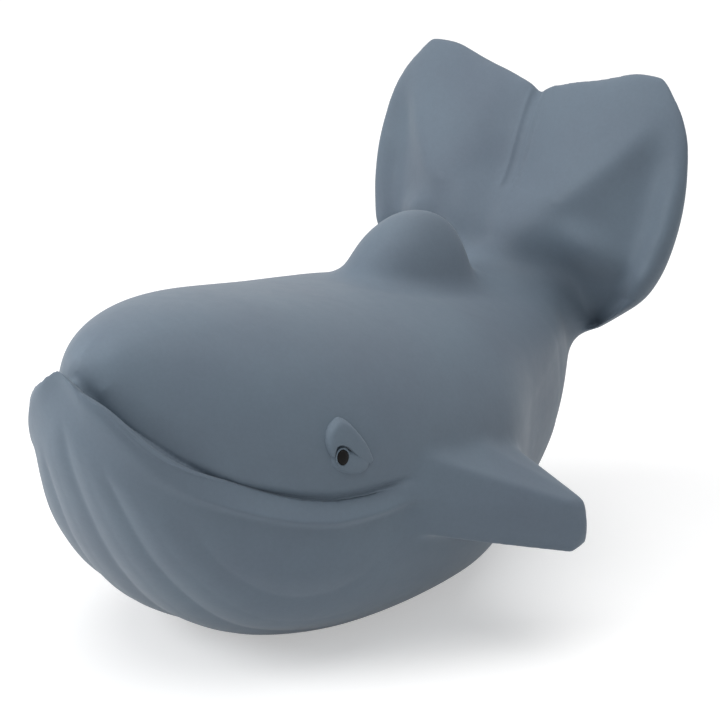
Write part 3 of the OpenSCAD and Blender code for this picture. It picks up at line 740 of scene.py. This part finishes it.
bpy.ops.object.select_all(action="DESELECT")
bpy.ops.mesh.primitive_uv_sphere_add(segments=32, ring_count=16, radius=1)
left_spot = bpy.context.object
left_spot.name = "left_pupil_paint"
move_to(left_spot, eye_points(left_spot, 0, pupil_size, pupil_seat))
bpy.ops.object.shade_smooth()
paint = bpy.data.materials.new("eye_paint")
paint.use_nodes = True
tree = paint.node_tree
shader = tree.nodes["Principled BSDF"]
shader.inputs["Specular IOR Level"].default_value = 0.12
place = add_node(tree, "ShaderNodeTexCoord").outputs["Object"]
brush = add_node(tree, "ShaderNodeTexNoise", Scale=1800, Detail=2, Roughness=0.5)
tree.links.new(place, brush.inputs["Vector"])
ink = add_node(tree, "ShaderNodeValToRGB")
ink.color_ramp.elements[0].color = (0.003, 0.003, 0.003, 1)
ink.color_ramp.elements[1].color = (0.007, 0.006, 0.006, 1)
tree.links.new(brush.outputs["Fac"], ink.inputs["Fac"])
tree.links.new(ink.outputs["Color"], shader.inputs["Base Color"])
tree.links.new(between(tree, brush.outputs["Fac"], 0.35, 0.5), shader.inputs["Roughness"])
left_spot.data.materials.clear()
left_spot.data.materials.append(paint)


def other_side(piece, name):
    pick(piece)
    bpy.ops.object.duplicate()
    twin = bpy.context.object
    twin.name = name
    twin.scale.x = -1
    bpy.ops.object.transform_apply()
    bpy.ops.object.mode_set(mode="EDIT")
    bpy.ops.mesh.select_all(action="SELECT")
    bpy.ops.mesh.flip_normals()
    bpy.ops.object.mode_set(mode="OBJECT")
    return twin


for lid, spot, name in ((left_lid, left_spot, "left"),
                        (other_side(left_lid, "right_eyelid"),
                         other_side(left_spot, "right_pupil_paint"), "right")):
    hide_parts(name + "_brow")
    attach(lid, "hull")
    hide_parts(name + "_pupil")
    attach(spot, "hull")

# Moving parts of the skin
# The rubber bends as one sheet: the back under a thumb, the flippers at the flank, the flukes over the
# waist. Here these parts are cut from the skin as pieces of their own.
kept_share = 0.62
back_edge = 1.5
back_plane = np.array((0, 0.095, 1))
back_start = 53.49
flipper_start = 35
flipper_top = 40
tail_start = 47.5


def cut_off(name, chosen):
    select_faces(skin, chosen)
    bpy.ops.mesh.separate(type="SELECTED")
    bpy.ops.object.mode_set(mode="OBJECT")
    piece = next(other for other in bpy.context.selected_objects if other is not skin)
    piece.name = name
    return piece


def keep_normals(piece):
    stored = piece.data.attributes["whole_normal"]
    vectors = np.empty(len(piece.data.vertices) * 3, np.float32)
    stored.data.foreach_get("vector", vectors)
    vectors = vectors.reshape(-1, 3)
    vectors /= np.linalg.norm(vectors, axis=1)[:, None]
    piece.data.normals_split_custom_set_from_vertices(vectors)
    piece.data.attributes.remove(piece.data.attributes["whole_normal"])


# The shading of the whole skin is kept on its parts, so that no cut shows
whole = skin.data.attributes.new("whole_normal", "FLOAT_VECTOR", "POINT")
whole.data.foreach_set("vector", normals_of(skin).astype(np.float32).ravel())
apply_modifier(skin, "DECIMATE", ratio=kept_share)
centres = centres_of(skin)
back_skin = cut_off("back_skin", (centres @ back_plane > back_start) & (centres[:, 1] < back_edge))
centres = centres_of(skin)
left_skin = cut_off("left_flipper_skin", (centres[:, 0] > flipper_start) & (centres[:, 2] < flipper_top))
centres = centres_of(skin)
right_skin = cut_off("right_flipper_skin",
                     (centres[:, 0] < -flipper_start) & (centres[:, 2] < flipper_top))
centres = centres_of(skin)
tail_skin = cut_off("tail_skin", centres @ tail_plane > tail_start)
for piece in (skin, back_skin, left_skin, right_skin, tail_skin):
    keep_normals(piece)
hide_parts("upper_shell", "press_ring", "lower_shell", "dorsal_fin", "tail_stock",
            "left_flipper_root", "right_flipper_root")
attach(skin, "hull")
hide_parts("press_pad")
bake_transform(back_skin)
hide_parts("left_flipper")
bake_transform(left_skin)
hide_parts("right_flipper")
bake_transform(right_skin)
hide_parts("tail_flukes")
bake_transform(tail_skin)

# Squeaker
# A small moulded barrel, pushed into the belly from below, with a block, a clamp and a cap of the same
# off-white plastic. The reed between block and clamp is a strip of clear film.
plastic = bpy.data.materials.new("moulded_plastic")
plastic.use_nodes = True
tree = plastic.node_tree
shader = tree.nodes["Principled BSDF"]
shader.inputs["Subsurface Weight"].default_value = 0.1
shader.inputs["Subsurface Radius"].default_value = (0.001, 0.001, 0.0008)
place = add_node(tree, "ShaderNodeTexCoord").outputs["Object"]
flow = add_node(tree, "ShaderNodeTexNoise", Scale=180, Detail=3, Roughness=0.5)
spark = add_node(tree, "ShaderNodeTexNoise", Scale=2600, Detail=2, Roughness=0.6)
for noise in (flow, spark):
    tree.links.new(place, noise.inputs["Vector"])
ivory = add_node(tree, "ShaderNodeValToRGB")
ivory.color_ramp.elements[0].color = (0.70, 0.69, 0.62, 1)
ivory.color_ramp.elements[1].color = (0.78, 0.77, 0.71, 1)
tree.links.new(flow.outputs["Fac"], ivory.inputs["Fac"])
tree.links.new(ivory.outputs["Color"], shader.inputs["Base Color"])
tree.links.new(between(tree, flow.outputs["Fac"], 0.32, 0.46), shader.inputs["Roughness"])
relief = add_node(tree, "ShaderNodeBump", Strength=0.1, Distance=0.00005)
tree.links.new(spark.outputs["Fac"], relief.inputs["Height"])
tree.links.new(relief.outputs["Normal"], shader.inputs["Normal"])

film = bpy.data.materials.new("reed_film")
film.use_nodes = True
tree = film.node_tree
shader = tree.nodes["Principled BSDF"]
shader.inputs["Transmission Weight"].default_value = 0.5
shader.inputs["IOR"].default_value = 1.5
place = add_node(tree, "ShaderNodeTexCoord").outputs["Object"]
haze = add_node(tree, "ShaderNodeTexNoise", Scale=900, Detail=2, Roughness=0.5)
tree.links.new(place, haze.inputs["Vector"])
milky = add_node(tree, "ShaderNodeValToRGB")
milky.color_ramp.elements[0].color = (0.62, 0.66, 0.68, 1)
milky.color_ramp.elements[1].color = (0.74, 0.78, 0.80, 1)
tree.links.new(haze.outputs["Fac"], milky.inputs["Fac"])
tree.links.new(milky.outputs["Color"], shader.inputs["Base Color"])
tree.links.new(between(tree, haze.outputs["Fac"], 0.18, 0.3), shader.inputs["Roughness"])


def finish_node(node, material):
    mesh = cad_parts[node].data
    mesh.materials.clear()
    mesh.materials.append(material)


for node in ("squeaker_barrel", "reed_block", "reed_clamp", "squeaker_cap"):
    finish_node(node, plastic)
for node in ("reed_tongue", "reed_tail"):
    finish_node(node, film)

# Studio
# A plain white table under a broad lamp overhead, with a small soft lamp close on the left. The toy is
# seen from its front left and a little from above.
target = Vector((0, 0.00598, 0.038))
view_turn = math.radians(40)
view_height = math.radians(18.5)
view_distance = 0.5
view_lens = 146.5
view_sensor = 36
back = Vector((math.sin(view_turn) * math.cos(view_height), -math.cos(view_turn) * math.cos(view_height),
               math.sin(view_height)))
right = Vector((math.cos(view_turn), math.sin(view_turn), 0))
camera_data = bpy.data.cameras.new("camera")
camera_data.sensor_width = view_sensor
camera_data.lens = view_lens
camera = bpy.data.objects.new("camera", camera_data)
camera.location = target + back * view_distance
camera.rotation_euler = (-back).to_track_quat("-Z", "Y").to_euler()
bpy.context.scene.collection.objects.link(camera)
bpy.context.scene.camera = camera

table_size = 6
table_white = (0.75, 0.75, 0.75, 1)
table_glow = 0.42
bpy.ops.object.select_all(action="DESELECT")
bpy.ops.mesh.primitive_plane_add(size=table_size)
floor = bpy.context.object
floor.name = "table"
paper = bpy.data.materials.new("white_table")
paper.use_nodes = True
tree = paper.node_tree
surface = tree.nodes["Principled BSDF"]
surface.inputs["Base Color"].default_value = table_white
surface.inputs["Roughness"].default_value = 0.9


def seen_rays(tree):
    rays = add_node(tree, "ShaderNodeLightPath")
    seen = rays.outputs["Is Camera Ray"]
    for kind in ("Is Glossy Ray", "Is Transmission Ray"):
        more = add_node(tree, "ShaderNodeMath")
        more.operation = "ADD"
        more.use_clamp = True
        tree.links.new(seen, more.inputs[0])
        tree.links.new(rays.outputs[kind], more.inputs[1])
        seen = more.outputs["Value"]
    return seen


glow = add_node(tree, "ShaderNodeMath")
glow.operation = "MULTIPLY"
glow.inputs[1].default_value = table_glow
surface.inputs["Emission Color"].default_value = (1, 1, 1, 1)
tree.links.new(seen_rays(tree), glow.inputs[0])
tree.links.new(glow.outputs["Value"], surface.inputs["Emission Strength"])
floor.data.materials.append(paper)


def soft_light(name, place, size, watts):
    data = bpy.data.lights.new(name, "AREA")
    data.shape = "DISK"
    data.size = size
    data.energy = watts
    lamp = bpy.data.objects.new(name, data)
    lamp.location = place
    lamp.visible_camera = False
    lamp.rotation_euler = (target - place).to_track_quat("-Z", "Y").to_euler()
    bpy.context.scene.collection.objects.link(lamp)


overhead_height = 1
overhead_size = 1.4
overhead_watts = 7.6
side_left = 0.33
side_ahead = 0.12
side_height = 0.17
side_size = 0.22
side_watts = 0.78
sky_strength = 0.37
ahead = Vector((math.sin(view_turn), -math.cos(view_turn), 0))
soft_light("overhead", target + Vector((0, 0, overhead_height)), overhead_size, overhead_watts)
soft_light("side", target - right * side_left + ahead * side_ahead + Vector((0, 0, side_height)),
           side_size, side_watts)
world = bpy.data.worlds.new("studio")
bpy.context.scene.world = world
world.use_nodes = True
tree = world.node_tree
sky = tree.nodes["Background"]
sky.inputs["Color"].default_value = (1, 1, 1, 1)
sky.inputs["Strength"].default_value = sky_strength
white = add_node(tree, "ShaderNodeBackground", Color=(1, 1, 1, 1), Strength=1)
choose = add_node(tree, "ShaderNodeMixShader")
tree.links.new(seen_rays(tree), choose.inputs["Fac"])
tree.links.new(sky.outputs["Background"], choose.inputs[1])
tree.links.new(white.outputs["Background"], choose.inputs[2])
tree.links.new(choose.outputs["Shader"], tree.nodes["World Output"].inputs["Surface"])
bpy.context.scene.view_settings.view_transform = "Standard"
